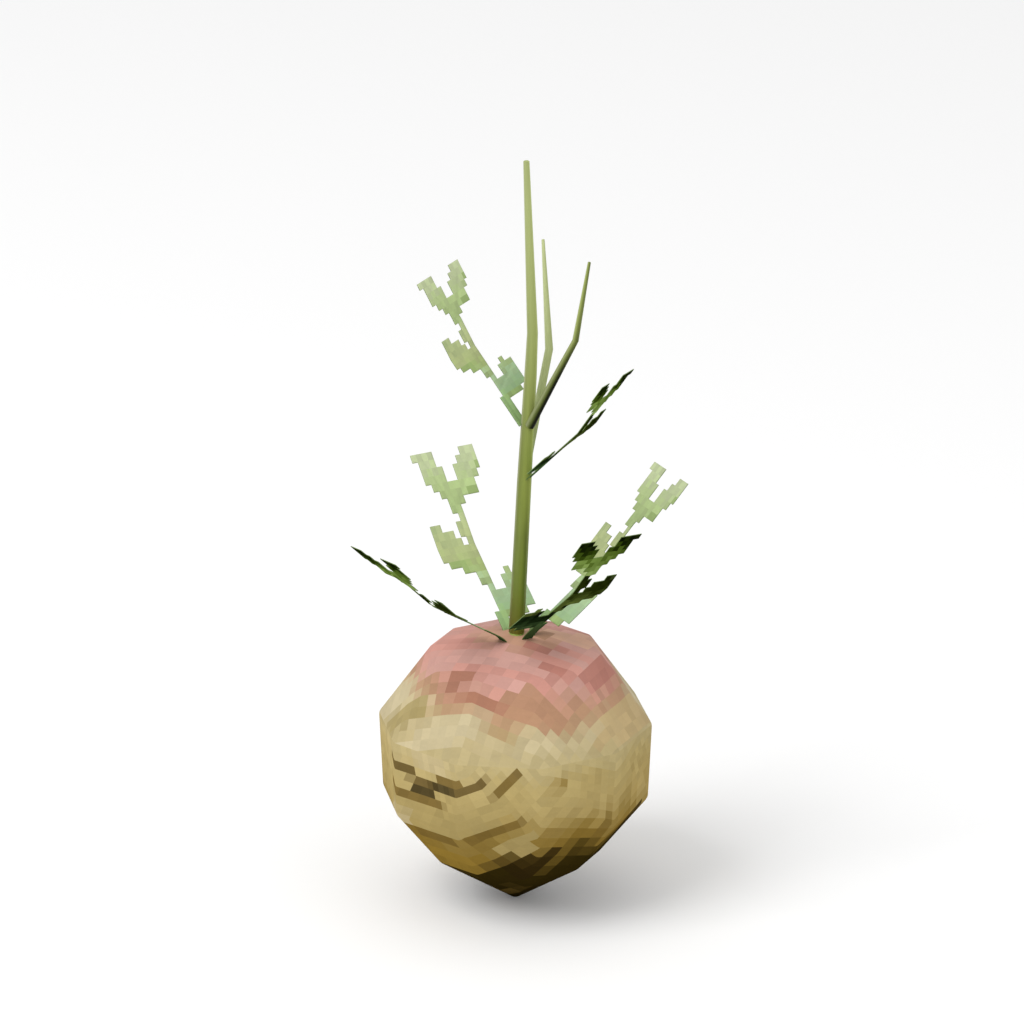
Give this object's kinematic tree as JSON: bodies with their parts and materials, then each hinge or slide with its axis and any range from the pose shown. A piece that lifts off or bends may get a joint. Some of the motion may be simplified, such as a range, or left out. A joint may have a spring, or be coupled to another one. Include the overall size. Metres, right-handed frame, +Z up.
{
  "type": "turnip",
  "caption": "Turnip pulled whole: a squat faceted root with a rose crown, a forked flower stalk and lobed, stepped-edged leaves; it stands upright on a small flat spot.",
  "frame": {"origin": "middle of the flat spot that the root stands on", "axes": "+Z up along the root and its stalk; +X to the right and +Y away from the viewer, as pictured"},
  "size_m": [0.1092, 0.1072, 0.2538],
  "materials": {
    "root_skin": "smooth root skin, rose above, cream and brown below, slightly waxy",
    "stalk": "smooth green stem, satin",
    "leaf": "matte green leaf, darker underneath"
  },
  "bodies": {
    "root": {"turnip_root": "root_skin", "flower_stalk": "stalk", "leaf_back_left": "leaf", "leaf_back_right": "leaf", "leaf_front_right": "leaf", "leaf_front_left": "leaf", "stalk_leaf_left": "leaf", "stalk_leaf_right": "leaf"}
  },
  "joints": []
}
